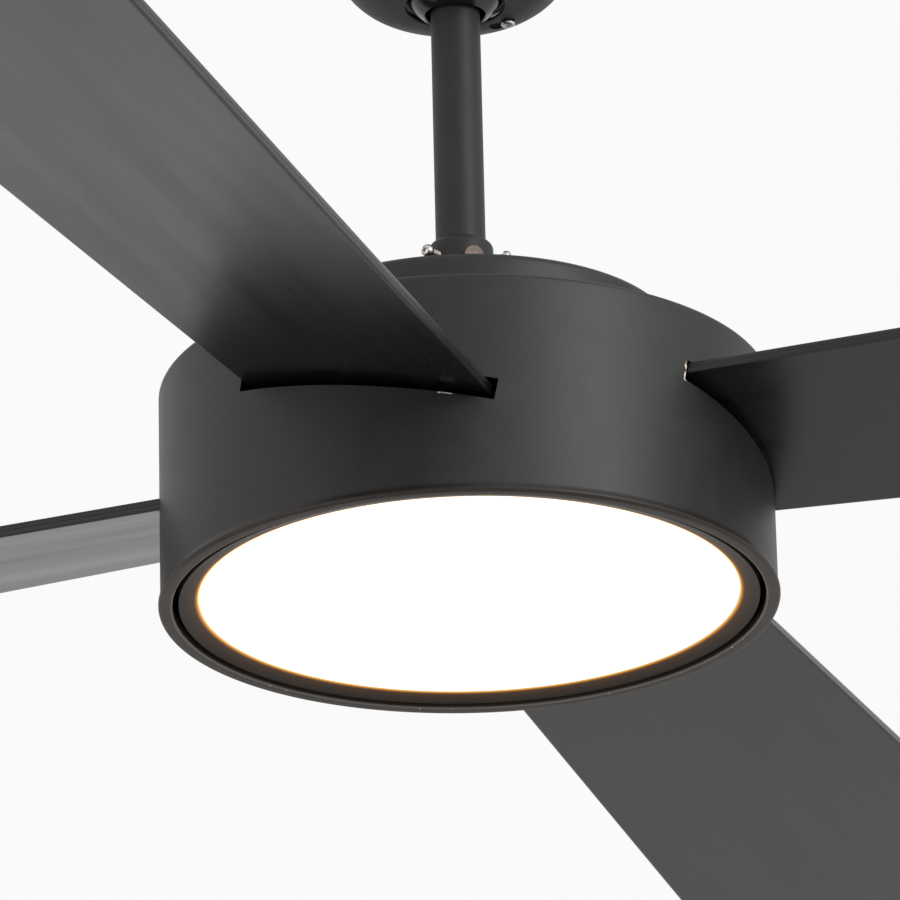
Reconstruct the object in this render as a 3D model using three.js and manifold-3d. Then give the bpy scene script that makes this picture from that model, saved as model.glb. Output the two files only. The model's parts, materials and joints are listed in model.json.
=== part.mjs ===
// A ceiling fan with four blades and a round LED light, in millimetres, +Z up.
// The origin is on the ceiling, at the centre of the hanger bracket's flat top. Inside the fan
// group, heights are measured up from the lowest edge of the drum, the lip around the light.
import * as THREE from "three";
import { ConvexGeometry } from "three/addons/geometries/ConvexGeometry.js";
import { mergeVertices } from "three/addons/utils/BufferGeometryUtils.js";
import Module from "manifold-3d";

const wasm = await Module();
wasm.setup();

// ---- driving dimensions ----------------------------------------------------------------------
const CEILING_HEIGHT = 420; // ceiling above the lip
const GAP = 0.3; // kept between parts that touch
const SLACK = 0.6; // twice the gap, for parts that pass through a hole

const LIP_RADIUS = 160;
const DRUM_RADIUS = 158.9;
const DRUM_HEIGHT = 118.4;
const SHEET = 1.2;
const BEAD_RADIUS = 3.65; // rolled lip at the bottom of the drum
const DRUM_EDGE = 2.6; // rounding of the drum's top edge
const DRUM_HOLE_RADIUS = 73;

const COVER_RADIUS = 110.5;
const COVER_TOP = 150.9;
const COVER_EDGE = 4;
const COVER_HOLE_RADIUS = 22;
const COVER_SHEET = 1.5;

const BEZEL_RADIUS = 149.7;
const BEZEL_BOTTOM = 2;
const BEZEL_INNER_RADIUS = 139.4;
const BEZEL_INNER_HEIGHT = 5.1;
const BEZEL_FLANGE = 1.4; // thickness of the bezel's face
const BEZEL_SKIRT_TOP = 20;
const DIFFUSER_RADIUS = 145;
const DIFFUSER_BOTTOM = 5.2;
const DIFFUSER_THICKNESS = 2.5; // of its flange, which rests on the bezel's face
const PAN_RADIUS = 147.7;
const PAN_WALL_BOTTOM = 11;
const PAN_TOP = 24.5;
const BAYONET_COUNT = 3;
const BAYONET_TAB = 3; // degrees, half the width of one tab
const BAYONET_TRAVEL = 15; // degrees from locked to free

const BLADE_COUNT = 4;
const FIRST_BLADE = -19.7; // degrees, azimuth of the first blade's centre line
const BLADE_PITCH = -12; // degrees about the centre line
const BLADE_DROOP = 1.39; // degrees below level
const BLADE_AXIS_HEIGHT = 73.3; // where the centre lines meet the fan's axis
const BLADE_ROOT = 98;
const BLADE_TIP = 710;
const BLADE_THICKNESS = 6.2;
const BLADE_HALF_WIDTH = 67.9; // at the lip radius
const BLADE_FLARE = 0.0475; // half width gained per unit of length
const BLADE_SHIFT = -0.7; // of each board across its centre line, towards one end of its slot
const BLADE_TIP_ROUND = 36;
const BLADE_SCREWS = [-22, 22]; // offsets from the centre line
const BLADE_SCREW_REACH = 122;
const SLOT_SIDE = 1.65; // what a slot's half width has over the blade's
const SLOT_SHIFT = 0.4; // of a slot's middle across the centre line
const SLOT_LOW = -7.1; // lower and upper edge, from the middle of the blade's thickness
const SLOT_HIGH = 4.5;
const SLOT_PITCH = 0.8; // degrees, of a slot against its blade

const SHAFT_RADIUS = 9;
const SHAFT_BORE = 5;
const SHAFT_BOTTOM = 14;
const SHAFT_TOP = 163.7;
const MOTOR_BOTTOM = 88;
const MOTOR_TOP = 140;
const MOTOR_SPLIT = 114;
const MOTOR_RADIUS = 71;
const MOTOR_SHEET = 3;
const CORE_LOW = 104;
const CORE_HIGH = 124;
const TEETH = 9;
const BEARING_HEIGHTS = { lower: 92, upper: 128 };
const BEARING_WIDTH = 8;
const BEARING_RADIUS = 18.4;
const BALL_PITCH = 13.8;
const BALL_RADIUS = 1.5;
const BALLS = 8;

const ROD_RADIUS = 13.1;
const ROD_BORE = 10.6;
const ROD_BOTTOM = 170.3;
const ROD_TOP = 372;
const COLLAR_RADIUS = 17;
const COLLAR_TOP = 203;
const COLLAR_BOTTOM = 156;
const PIN_RADIUS = 3;
const PIN_HEIGHT = 189.6;
const PIN_AZIMUTH = -68; // degrees, where the clevis pin's head faces
const COUPLING_SCREW_HEIGHT = 192.5;
const COUPLING_SCREW_REACH = 23.6; // from the axis to the underside of a coupling screw's head

const HANGER_BALL_RADIUS = 29.5;
const HANGER_BALL_HEIGHT = 359.5;
const BALL_MOUTH_RADIUS = 16.5;
const LINER_THICKNESS = 1.5;
const SOCKET_LOW = 344.6;
const SOCKET_HIGH = 356;
const SOCKET_RADIUS = 40;

const CANOPY_BOTTOM = 341;
const CANOPY_HOLE_RADIUS = 26.5;
const CANOPY_FLAT_RADIUS = 31;
const CANOPY_EDGE = 34; // rounding from the flat bottom to the side
const CANOPY_TOP_RADIUS = 66.5;
const CANOPY_SHEET = 1.5;
const CANOPY_SCREW_RADIUS = 35; // distance of the canopy screws from the axis
const CANOPY_SCREW_AZIMUTH = 37; // degrees
const CANOPY_TRAVEL = 13; // degrees from locked to free

const PLATE_RADIUS = 56;
const PLATE_THICKNESS = 2.5;
const LEG_REACH = 36; // inner face of each bracket leg
const LEG_WIDTH = 30;

const FINE = 48; // facets around the drum and the light
const MEDIUM = 28;
const COARSE = 12;

// ---- materials -------------------------------------------------------------------------------
const finish = (color, roughness, metalness) =>
  new THREE.MeshStandardMaterial({ color, roughness, metalness });
const BLACK_PAINT = finish(0x3b3a38, 0.55, 0.2);
const BLACK_PLASTIC = finish(0x1e1e1e, 0.3, 0);
const BLADE_FILM = finish(0x4a4946, 0.45, 0);
const STEEL = finish(0xb5b2ac, 0.3, 1);
const ZINC = finish(0x9a9a96, 0.45, 0.9);
const CAST_METAL = finish(0x8d8f90, 0.5, 0.8);
const COPPER = finish(0xa35c35, 0.4, 0.8);
const MAGNET = finish(0x4b4d52, 0.5, 0.6);
const WHITE_PLASTIC = finish(0xeeece6, 0.5, 0);
const OPAL = finish(0xffffff, 0.6, 0);
const BOARD = finish(0xf3f3ee, 0.5, 0.1);
const NYLON = finish(0xd8d4c6, 0.6, 0);
const WIRE = finish(0x2a2a2c, 0.6, 0);

// ---- shape helpers ---------------------------------------------------------------------------
const rad = THREE.MathUtils.degToRad;

// A three.js geometry as a manifold-3d solid.
function solid(geometry) {
  const bare = geometry.index ? geometry.toNonIndexed() : geometry.clone();
  bare.deleteAttribute("normal");
  bare.deleteAttribute("uv");
  const merged = mergeVertices(bare, 1e-4);
  return new wasm.Manifold(
    new wasm.Mesh({
      numProp: 3,
      vertProperties: merged.attributes.position.array,
      triVerts: new Uint32Array(merged.index.array),
    }),
  );
}

// A manifold-3d solid as a three.js geometry.
function shape(made) {
  const mesh = made.getMesh();
  const geometry = new THREE.BufferGeometry();
  geometry.setAttribute("position", new THREE.BufferAttribute(mesh.vertProperties, 3));
  geometry.setIndex(new THREE.BufferAttribute(mesh.triVerts, 1));
  geometry.computeVertexNormals();
  return geometry;
}

const join = (solids) => solids.reduce((all, next) => all.add(next));
const cut = (body, tools) => tools.reduce((left, tool) => left.subtract(tool), body);

// A profile of [radius, height] corners, counter-clockwise, turned about the Z axis.
function turned(corners, facets) {
  const points = corners.map(([r, h]) => new THREE.Vector2(r, h));
  const onAxis = corners[0][0] === 0;
  const profile = onAxis ? points : [...points, points[0].clone()];
  return solid(new THREE.LatheGeometry(profile, facets).rotateX(Math.PI / 2));
}

const ring = (inner, outer, low, high, facets) =>
  turned([[inner, low], [outer, low], [outer, high], [inner, high]], facets);

const disc = (radius, low, high, facets) =>
  turned([[0, low], [radius, low], [radius, high], [0, high]], facets);

// Points on an arc of a profile, from one angle to another in degrees.
function arc(r, h, radius, from, to, steps) {
  return Array.from({ length: steps + 1 }, (_, i) => {
    const angle = rad(from + ((to - from) * i) / steps);
    return [r + radius * Math.cos(angle), h + radius * Math.sin(angle)];
  });
}

// A box between two corners.
function block(low, high) {
  const size = high.map((v, i) => v - low[i]);
  const middle = high.map((v, i) => (v + low[i]) / 2);
  return solid(new THREE.BoxGeometry(...size).translate(...middle));
}

// A round bar that lies level and points away from the axis at an azimuth.
function levelBar(radius, azimuth, from, to, height, facets = COARSE) {
  const bar = new THREE.CylinderGeometry(radius, radius, to - from, facets)
    .rotateZ(Math.PI / 2)
    .translate((from + to) / 2, 0, 0)
    .rotateZ(rad(azimuth))
    .translate(0, 0, height);
  return solid(bar);
}

// A bar that stands upright.
function uprightBar(radius, x, y, low, high, facets = COARSE) {
  const bar = new THREE.CylinderGeometry(radius, radius, high - low, facets)
    .rotateX(Math.PI / 2)
    .translate(x, y, (low + high) / 2);
  return solid(bar);
}

// A piece of a ring between two azimuths in degrees.
function sector(inner, outer, from, to, low, high) {
  const outline = new THREE.Shape();
  outline.absarc(0, 0, outer, rad(from), rad(to), false);
  outline.absarc(0, 0, inner, rad(to), rad(from), true);
  const depth = high - low;
  const geometry = new THREE.ExtrudeGeometry(outline, { depth, bevelEnabled: false, curveSegments: 2 });
  return solid(geometry.translate(0, 0, low));
}

// A round wire along a smooth path of points.
function wire(points, radius, steps) {
  const path = new THREE.CatmullRomCurve3(points.map((p) => new THREE.Vector3(...p)));
  const section = new THREE.Shape();
  section.absarc(0, 0, radius, 0, 2 * Math.PI, false);
  const settings = { extrudePath: path, steps, curveSegments: 4, bevelEnabled: false };
  return solid(new THREE.ExtrudeGeometry(section, settings));
}

const polar = (radius, azimuth, height) => [
  radius * Math.cos(rad(azimuth)),
  radius * Math.sin(rad(azimuth)),
  height,
];

// A screw whose shank points up, above its head.
function uprightScrew(x, y, headRadius, headHeight, shankRadius, headTop, length) {
  const head = uprightBar(headRadius, x, y, headTop - headHeight, headTop);
  const shank = uprightBar(shankRadius, x, y, headTop - 1, headTop + length, 8);
  return head.add(shank);
}

// ---- the group -------------------------------------------------------------------------------
const part = new THREE.Group();
const fan = new THREE.Group();
fan.position.z = -CEILING_HEIGHT;
part.add(fan);

function piece(name, made, material, group = fan) {
  const mesh = new THREE.Mesh(shape(made), material);
  mesh.name = name;
  group.add(mesh);
  return mesh;
}

// A group in a blade's own frame: X along the centre line, Y across it, Z out of its upper face.
function bladeFrame(index) {
  const group = new THREE.Group();
  const azimuth = FIRST_BLADE + (360 / BLADE_COUNT) * index;
  group.position.z = BLADE_AXIS_HEIGHT;
  group.rotation.set(rad(BLADE_PITCH), rad(BLADE_DROOP), rad(azimuth), "ZYX");
  group.updateMatrix();
  fan.add(group);
  return group;
}
const bladeFrames = Array.from({ length: BLADE_COUNT }, (_, i) => bladeFrame(i));
const halfWidth = (reach) => BLADE_HALF_WIDTH + BLADE_FLARE * (reach - LIP_RADIUS);

// ---- hanger: what is fixed to the ceiling ----------------------------------------------------
function ceilingBracket() {
  const plateLow = CEILING_HEIGHT - PLATE_THICKNESS;
  const plate = disc(PLATE_RADIUS, plateLow, CEILING_HEIGHT, MEDIUM);
  const seat = HANGER_BALL_RADIUS + LINER_THICKNESS + SLACK;
  const inner = (h) => Math.sqrt(seat ** 2 - (h - HANGER_BALL_HEIGHT) ** 2);
  const heights = [SOCKET_HIGH, 350, SOCKET_LOW];
  const socket = turned(
    [
      [SOCKET_RADIUS - 3.5, SOCKET_LOW],
      [SOCKET_RADIUS, SOCKET_LOW + 4],
      [SOCKET_RADIUS, SOCKET_HIGH],
      ...heights.map((h) => [inner(h), h]),
    ],
    MEDIUM,
  );
  const legs = [-1, 1].map((side) => {
    const faces = [side * LEG_REACH, side * (LEG_REACH + PLATE_THICKNESS)];
    const low = [Math.min(...faces), -LEG_WIDTH / 2, SOCKET_LOW + 4];
    const high = [Math.max(...faces), LEG_WIDTH / 2, plateLow + 1];
    return block(low, high);
  });
  const slots = [-1, 1].map((side) => block([side * 48 - 3, -7, plateLow - 5], [side * 48 + 3, 7, 425]));
  const wireHole = uprightBar(6, 0, -32, plateLow - 5, CEILING_HEIGHT + 5);
  const threads = canopyScrewPlaces().map(([x, y]) => uprightBar(2.3, x, y, 330, SOCKET_HIGH + 5, 8));
  return cut(join([plate, socket, ...legs]), [...slots, wireHole, ...threads]);
}

const canopyScrewPlaces = () =>
  [0, 180].map((turn) => polar(CANOPY_SCREW_RADIUS, CANOPY_SCREW_AZIMUTH + turn, 0));

function canopyScrew([x, y]) {
  const underside = CANOPY_BOTTOM - GAP;
  const screw = uprightScrew(x, y, 3.8, 2.4, 1.9, underside, 13);
  const low = underside - 3;
  const slots = [[2.4, 0.45], [0.45, 2.4]].map(([a, b]) =>
    block([x - a, y - b, low], [x + a, y + b, underside - 1.3]),
  );
  return cut(screw, slots);
}

function receiverBox() {
  const box = block([-33, -16, 397], [33, 16, 414]);
  const lid = block([-31, -14, 413], [31, 14, 416]);
  return box.add(lid);
}

function terminalBlock() {
  const base = block([-18, 32, 405], [18, 46, CEILING_HEIGHT - PLATE_THICKNESS - GAP]);
  const wells = [-12, 0, 12].map((x) => uprightBar(2.4, x, 39, 400, 411, 12));
  return cut(base, wells);
}

// ---- canopy ----------------------------------------------------------------------------------
function canopy() {
  const centre = [CANOPY_FLAT_RADIUS, CANOPY_BOTTOM + CANOPY_EDGE];
  const top = CEILING_HEIGHT - 0.5;
  const outer = arc(...centre, CANOPY_EDGE, -90, 0, 6);
  const inner = arc(...centre, CANOPY_EDGE - CANOPY_SHEET, 0, -90, 4);
  const shell = turned(
    [
      [CANOPY_HOLE_RADIUS, CANOPY_BOTTOM],
      ...outer,
      [CANOPY_TOP_RADIUS, top],
      [CANOPY_TOP_RADIUS - CANOPY_SHEET, top],
      ...inner,
      [CANOPY_HOLE_RADIUS, CANOPY_BOTTOM + CANOPY_SHEET],
    ],
    MEDIUM,
  );
  const low = CANOPY_BOTTOM - 2;
  const high = CANOPY_BOTTOM + 4;
  const keyholes = [0, 180].flatMap((turn) => {
    const from = CANOPY_SCREW_AZIMUTH + turn;
    const narrow = [CANOPY_SCREW_RADIUS - 2.5, CANOPY_SCREW_RADIUS + 2.5];
    const wide = polar(CANOPY_SCREW_RADIUS, from + CANOPY_TRAVEL, 0);
    return [
      sector(...narrow, from - 4.2, from + CANOPY_TRAVEL, low, high),
      uprightBar(4.6, wide[0], wide[1], low, high),
    ];
  });
  return cut(shell, keyholes);
}

// ---- ball joint and down rod -----------------------------------------------------------------
function seatLiner() {
  const inside = HANGER_BALL_RADIUS + GAP;
  const outside = inside + LINER_THICKNESS;
  const at = (radius, h) => [Math.sqrt(radius ** 2 - (h - HANGER_BALL_HEIGHT) ** 2), h];
  const heights = [346, 352, 358];
  return turned(
    [...heights.map((h) => at(outside, h)), ...heights.reverse().map((h) => at(inside, h))],
    MEDIUM,
  );
}

function hangerBall() {
  const centre = HANGER_BALL_HEIGHT;
  const mouth = -Math.asin(Math.sqrt(1 - (BALL_MOUTH_RADIUS / HANGER_BALL_RADIUS) ** 2));
  const from = THREE.MathUtils.radToDeg(mouth);
  const skin = arc(0, centre, HANGER_BALL_RADIUS, from, 62, 7);
  const top = skin[skin.length - 1][1];
  const bore = ROD_RADIUS + GAP;
  const body = turned(
    [...skin, [ROD_BORE, top], [ROD_BORE, ROD_TOP + GAP], [bore, ROD_TOP + GAP], [bore, 350], [15.2, 344]],
    MEDIUM,
  );
  return cut(body, [levelBar(PIN_RADIUS + GAP, PIN_AZIMUTH, -32, 32, centre + 2)]);
}

const ballPin = () => levelBar(PIN_RADIUS, PIN_AZIMUTH, -24, 24, HANGER_BALL_HEIGHT + 2);

function downrod() {
  const tube = ring(ROD_BORE, ROD_RADIUS, ROD_BOTTOM, ROD_TOP, MEDIUM);
  const holes = [PIN_HEIGHT, HANGER_BALL_HEIGHT + 2].map((h) =>
    levelBar(PIN_RADIUS + GAP, PIN_AZIMUTH, -20, 20, h),
  );
  return cut(tube, holes);
}

const COUPLING_SCREW_AZIMUTHS = [-135, -15];

function yokeCoupling() {
  const wall = ROD_RADIUS + GAP;
  const body = turned(
    [
      [SHAFT_RADIUS + GAP, COLLAR_BOTTOM],
      [COLLAR_RADIUS, COLLAR_BOTTOM],
      ...arc(COLLAR_RADIUS - 3, COLLAR_TOP - 6, 3, 0, 60, 2),
      [wall + 0.4, COLLAR_TOP],
      [wall, COLLAR_TOP - 0.5],
      [wall, ROD_BOTTOM - GAP],
      [SHAFT_BORE, ROD_BOTTOM - GAP],
      [SHAFT_BORE, SHAFT_TOP + GAP],
      [SHAFT_RADIUS + GAP, SHAFT_TOP + GAP],
    ],
    MEDIUM,
  );
  const pinHole = levelBar(PIN_RADIUS + GAP, PIN_AZIMUTH, -25, 25, PIN_HEIGHT);
  const screwHoles = COUPLING_SCREW_AZIMUTHS.map((azimuth) =>
    levelBar(2.3, azimuth, 5, 25, COUPLING_SCREW_HEIGHT, 8),
  );
  return cut(body, [pinHole, ...screwHoles]);
}

const CLIP_PLACE = -20.5; // where the hairpin clip crosses the clevis pin

function clevisPin() {
  const head = levelBar(5.2, PIN_AZIMUTH, COLLAR_RADIUS + GAP, COLLAR_RADIUS + 2.2, PIN_HEIGHT);
  const shank = levelBar(PIN_RADIUS, PIN_AZIMUTH, -23.5, COLLAR_RADIUS + 1, PIN_HEIGHT);
  const [x, y] = polar(CLIP_PLACE, PIN_AZIMUTH, 0);
  return cut(head.add(shank), [uprightBar(1.3, x, y, PIN_HEIGHT - 6, PIN_HEIGHT + 6, 12)]);
}

// One leg goes through the pin and the other springs over its end.
function hairpinClip() {
  const at = (out, up) => polar(CLIP_PLACE - out, PIN_AZIMUTH, PIN_HEIGHT + up);
  return wire(
    [
      at(0, -12), at(0, -4), at(0, 4), at(0.3, 10), at(2.4, 13.5), at(5.4, 12.6),
      at(6.4, 9), at(4.6, 4), at(4.9, -1), at(5.9, -6),
    ],
    0.9,
    18,
  );
}

function couplingScrew(azimuth) {
  const head = COUPLING_SCREW_REACH;
  const face = head + 3.4;
  const cap = levelBar(3.4, azimuth, head, face, COUPLING_SCREW_HEIGHT);
  const shank = levelBar(2, azimuth, ROD_RADIUS + GAP, head + 1, COUPLING_SCREW_HEIGHT, 8);
  const arms = [[2.2, 0.45], [0.45, 2.2]].map(([across, up]) =>
    solid(
      new THREE.BoxGeometry(2.4, 2 * across, 2 * up)
        .translate(face, 0, 0)
        .rotateZ(rad(azimuth))
        .translate(0, 0, COUPLING_SCREW_HEIGHT),
    ),
  );
  return cut(cap.add(shank), arms);
}

// ---- motor: the shaft and the wound core stand still, the shells turn around them ------------
function motorShaft() {
  const tube = ring(SHAFT_BORE, SHAFT_RADIUS, SHAFT_BOTTOM, SHAFT_TOP, COARSE);
  return cut(tube, [levelBar(4.2, 0, 2, 14, 42.4)]);
}

function statorCore() {
  const hub = ring(SHAFT_RADIUS + GAP, 28, CORE_LOW, CORE_HIGH, COARSE);
  const teeth = Array.from({ length: TEETH }, (_, i) => {
    const turn = (360 / TEETH) * i;
    const neck = new THREE.BoxGeometry(34, 8, CORE_HIGH - CORE_LOW)
      .translate(44, 0, (CORE_LOW + CORE_HIGH) / 2)
      .rotateZ(rad(turn));
    return solid(neck).add(sector(57, 62, turn - 16, turn + 16, CORE_LOW, CORE_HIGH));
  });
  return join([hub, ...teeth]);
}

function statorWinding() {
  const coils = Array.from({ length: TEETH }, (_, i) => {
    const place = (geometry) => solid(geometry.translate(43, 0, 114).rotateZ(rad((360 / TEETH) * i)));
    const tooth = place(new THREE.BoxGeometry(50, 8 + SLACK, CORE_HIGH - CORE_LOW + SLACK));
    return place(new THREE.BoxGeometry(22, 14, 26)).subtract(tooth);
  });
  const lead = ring(33, 37, CORE_HIGH + 0.6, CORE_HIGH + 3.4, MEDIUM);
  return join([lead, ...coils]);
}

const magnetRing = () => ring(63, 67, CORE_LOW - 1, CORE_HIGH + 1, MEDIUM);

function motorLowerShell() {
  const pocket = BEARING_RADIUS + GAP;
  const wall = 67 + GAP;
  const floor = MOTOR_BOTTOM + MOTOR_SHEET;
  return turned(
    [
      [pocket - 4, MOTOR_BOTTOM],
      [MOTOR_RADIUS, MOTOR_BOTTOM],
      [MOTOR_RADIUS, MOTOR_SPLIT - GAP],
      [wall, MOTOR_SPLIT - GAP],
      [wall, floor],
      [pocket + 3, floor],
      [pocket + 3, 100],
      [pocket, 100],
      [pocket, floor],
      [pocket - 4, floor],
    ],
    MEDIUM,
  );
}

const FLANGE_RADIUS = 90; // carries the drum's top plate
const FLANGE_TOP = DRUM_HEIGHT - SHEET - GAP;
const DRUM_SCREW_RADIUS = 81;

function motorUpperShell() {
  const pocket = BEARING_RADIUS + GAP;
  const wall = 67 + GAP;
  const roof = MOTOR_TOP - MOTOR_SHEET;
  const body = turned(
    [
      [wall, MOTOR_SPLIT],
      [MOTOR_RADIUS, MOTOR_SPLIT],
      [FLANGE_RADIUS, MOTOR_SPLIT],
      [FLANGE_RADIUS, FLANGE_TOP],
      [MOTOR_RADIUS, FLANGE_TOP],
      [MOTOR_RADIUS, MOTOR_TOP],
      [pocket - 4, MOTOR_TOP],
      [pocket - 4, roof],
      [pocket, roof],
      [pocket, 127],
      [pocket + 3, 127],
      [pocket + 3, roof],
      [wall, roof],
    ],
    MEDIUM,
  );
  return cut(body, drumScrewPlaces().map(([x, y]) => uprightBar(2.3, x, y, 105, 125, 8)));
}

const drumScrewPlaces = () => [0, 90, 180, 270].map((turn) => polar(DRUM_SCREW_RADIUS, 25 + turn, 0));

// The drum's screws drop through its top plate into the motor's flange, heads up.
function drumScrew([x, y]) {
  const head = uprightBar(4, x, y, DRUM_HEIGHT + GAP, DRUM_HEIGHT + 3);
  return head.add(uprightBar(2, x, y, 108, DRUM_HEIGHT + 1, 8));
}

function addBearing(name, low) {
  const high = low + BEARING_WIDTH;
  const middle = (low + high) / 2;
  const inner = ring(SHAFT_RADIUS + GAP, BALL_PITCH - BALL_RADIUS - GAP, low, high, COARSE);
  const outer = ring(BALL_PITCH + BALL_RADIUS + SLACK, BEARING_RADIUS, low, high, COARSE);
  const balls = Array.from({ length: BALLS }, (_, i) => {
    const place = polar(BALL_PITCH, (360 / BALLS) * i, middle);
    return solid(new THREE.IcosahedronGeometry(BALL_RADIUS).translate(...place));
  });
  const cage = ring(BALL_PITCH - 0.5, BALL_PITCH + 0.5, middle - 0.8, middle + 0.8, COARSE);
  piece("bearing_inner_" + name, inner, STEEL);
  piece("bearing_outer_" + name, outer, STEEL);
  piece("bearing_cage_" + name, join([cage, ...balls]), STEEL);
}

// ---- drum and top cover ----------------------------------------------------------------------
// The opening that one blade passes through, in that blade's own frame.
function bladeSlot() {
  const half = halfWidth(DRUM_RADIUS) + SLOT_SIDE;
  return new THREE.BoxGeometry(40, 2 * half, SLOT_HIGH - SLOT_LOW)
    .translate(DRUM_RADIUS, SLOT_SHIFT, (SLOT_LOW + SLOT_HIGH) / 2)
    .rotateX(rad(SLOT_PITCH));
}

function drumShell() {
  const inside = DRUM_RADIUS - SHEET;
  const bead = LIP_RADIUS - BEAD_RADIUS;
  const edge = DRUM_RADIUS - DRUM_EDGE;
  const shell = turned(
    [
      ...arc(bead, BEAD_RADIUS, BEAD_RADIUS, -180, 45, 5),
      [DRUM_RADIUS, 2 * BEAD_RADIUS],
      ...arc(edge, DRUM_HEIGHT - DRUM_EDGE, DRUM_EDGE, 0, 90, 2),
      [DRUM_HOLE_RADIUS, DRUM_HEIGHT],
      [DRUM_HOLE_RADIUS, DRUM_HEIGHT - SHEET],
      [inside - 1, DRUM_HEIGHT - SHEET],
      [inside, DRUM_HEIGHT - SHEET - 1],
      [inside, 2 * BEAD_RADIUS],
      ...arc(bead, BEAD_RADIUS, BEAD_RADIUS, 110, 150, 1),
    ],
    FINE,
  );
  const slots = bladeFrames.map((frame) => solid(bladeSlot().applyMatrix4(frame.matrix)));
  const holes = drumScrewPlaces().map(([x, y]) => uprightBar(2.3, x, y, 105, 125, 8));
  return cut(shell, [...slots, ...holes]);
}

function topCover() {
  const low = DRUM_HEIGHT + GAP;
  const centre = [COVER_RADIUS - COVER_EDGE, COVER_TOP - COVER_EDGE];
  return turned(
    [
      [COVER_RADIUS - COVER_SHEET, low],
      [COVER_RADIUS, low],
      ...arc(...centre, COVER_EDGE, 0, 90, 2),
      [COVER_HOLE_RADIUS, COVER_TOP],
      [COVER_HOLE_RADIUS, COVER_TOP - COVER_SHEET],
      ...arc(...centre, COVER_EDGE - COVER_SHEET, 90, 0, 1),
    ],
    FINE,
  );
}

// ---- blades ----------------------------------------------------------------------------------
function bladeOutline() {
  const outline = new THREE.Shape();
  const root = halfWidth(BLADE_ROOT);
  const before = BLADE_TIP - BLADE_TIP_ROUND;
  const wide = halfWidth(before);
  const tip = wide - BLADE_TIP_ROUND;
  outline.moveTo(BLADE_ROOT, -root);
  outline.lineTo(before, -wide);
  outline.absarc(before, -tip, BLADE_TIP_ROUND, -Math.PI / 2, 0, false);
  outline.absarc(before, tip, BLADE_TIP_ROUND, 0, Math.PI / 2, false);
  outline.lineTo(BLADE_ROOT, root);
  return outline;
}

function blade() {
  const settings = { depth: BLADE_THICKNESS, bevelEnabled: false, curveSegments: 3 };
  const plank = new THREE.ExtrudeGeometry(bladeOutline(), settings);
  plank.translate(0, BLADE_SHIFT, -BLADE_THICKNESS / 2);
  const holes = BLADE_SCREWS.map((y) => uprightBar(2.8, BLADE_SCREW_REACH, y, -10, 10, 8));
  return cut(solid(plank), holes);
}

const TONGUE_LOW = BLADE_THICKNESS / 2 + GAP;
const TONGUE_HIGH = TONGUE_LOW + 3;
const TONGUE_START = 94;
const TONGUE_HALF = 36;

// A level pad under the motor, a web that twists down, and a tongue that lies on the blade.
function bladeBracket(frame) {
  const toBlade = frame.matrix.clone().invert();
  const azimuth = rad(FIRST_BLADE) + (2 * Math.PI * bladeFrames.indexOf(frame)) / BLADE_COUNT;
  const padHigh = MOTOR_BOTTOM - GAP;
  const padLow = padHigh - 3;
  const inBladeFrame = (x, y, z) =>
    new THREE.Vector3(x, y, z).applyAxisAngle(new THREE.Vector3(0, 0, 1), azimuth).applyMatrix4(toBlade);
  const hull = (points) => solid(new ConvexGeometry(points));
  const rim = (x, half) =>
    [padLow, padHigh].flatMap((z) => [-half, half].map((y) => inBladeFrame(x, y, z)));
  const pad = hull([...rim(40, 12), ...rim(72, 24)]);
  const start = [TONGUE_LOW, TONGUE_HIGH].flatMap((z) =>
    [-TONGUE_HALF, TONGUE_HALF].map((y) => new THREE.Vector3(TONGUE_START, y, z)),
  );
  const web = hull([...rim(71.5, 24), ...start]);
  const tongue = block([TONGUE_START - 0.5, -TONGUE_HALF, TONGUE_LOW], [146, TONGUE_HALF, TONGUE_HIGH]);
  const holes = BLADE_SCREWS.map((y) => uprightBar(2.8, BLADE_SCREW_REACH, y, -10, 20, 8));
  return cut(join([pad, web, tongue]), holes);
}

function bladeScrew(y) {
  const underside = -BLADE_THICKNESS / 2 - GAP;
  return uprightScrew(BLADE_SCREW_REACH, y, 5, 2.4, 2.4, underside, 13);
}

// ---- light -----------------------------------------------------------------------------------
const tabAzimuths = () => Array.from({ length: BAYONET_COUNT }, (_, i) => (360 / BAYONET_COUNT) * i + 30);

function bezelRing() {
  const skirt = BEZEL_RADIUS - 1.5;
  const body = turned(
    [
      [BEZEL_INNER_RADIUS, BEZEL_INNER_HEIGHT],
      [BEZEL_RADIUS - 1.2, BEZEL_BOTTOM],
      [BEZEL_RADIUS, BEZEL_BOTTOM + 0.6],
      [BEZEL_RADIUS, BEZEL_SKIRT_TOP],
      [skirt, BEZEL_SKIRT_TOP],
      [skirt, BEZEL_INNER_HEIGHT + BEZEL_FLANGE],
      [BEZEL_INNER_RADIUS, BEZEL_INNER_HEIGHT + BEZEL_FLANGE],
    ],
    FINE,
  );
  const tabs = tabAzimuths().map((at) =>
    sector(144.8, skirt + 0.5, at - BAYONET_TAB, at + BAYONET_TAB, 15, 17),
  );
  return join([body, ...tabs]);
}

// A plate whose middle fills the bezel's opening and whose thin flange rests on the bezel's face.
function diffuser() {
  const middle = BEZEL_INNER_RADIUS - GAP;
  const flange = BEZEL_INNER_HEIGHT + BEZEL_FLANGE + GAP;
  const top = flange + DIFFUSER_THICKNESS;
  return turned(
    [[0, DIFFUSER_BOTTOM], [middle, DIFFUSER_BOTTOM], [middle, flange], [DIFFUSER_RADIUS, flange],
      [DIFFUSER_RADIUS, top], [0, top]],
    FINE,
  );
}

const PAN_HOLE_RADIUS = 16;
const PAN_SCREW_RADIUS = 28;
const panScrewPlaces = () => [90, 210, 330].map((azimuth) => polar(PAN_SCREW_RADIUS, azimuth, 0));

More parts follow.
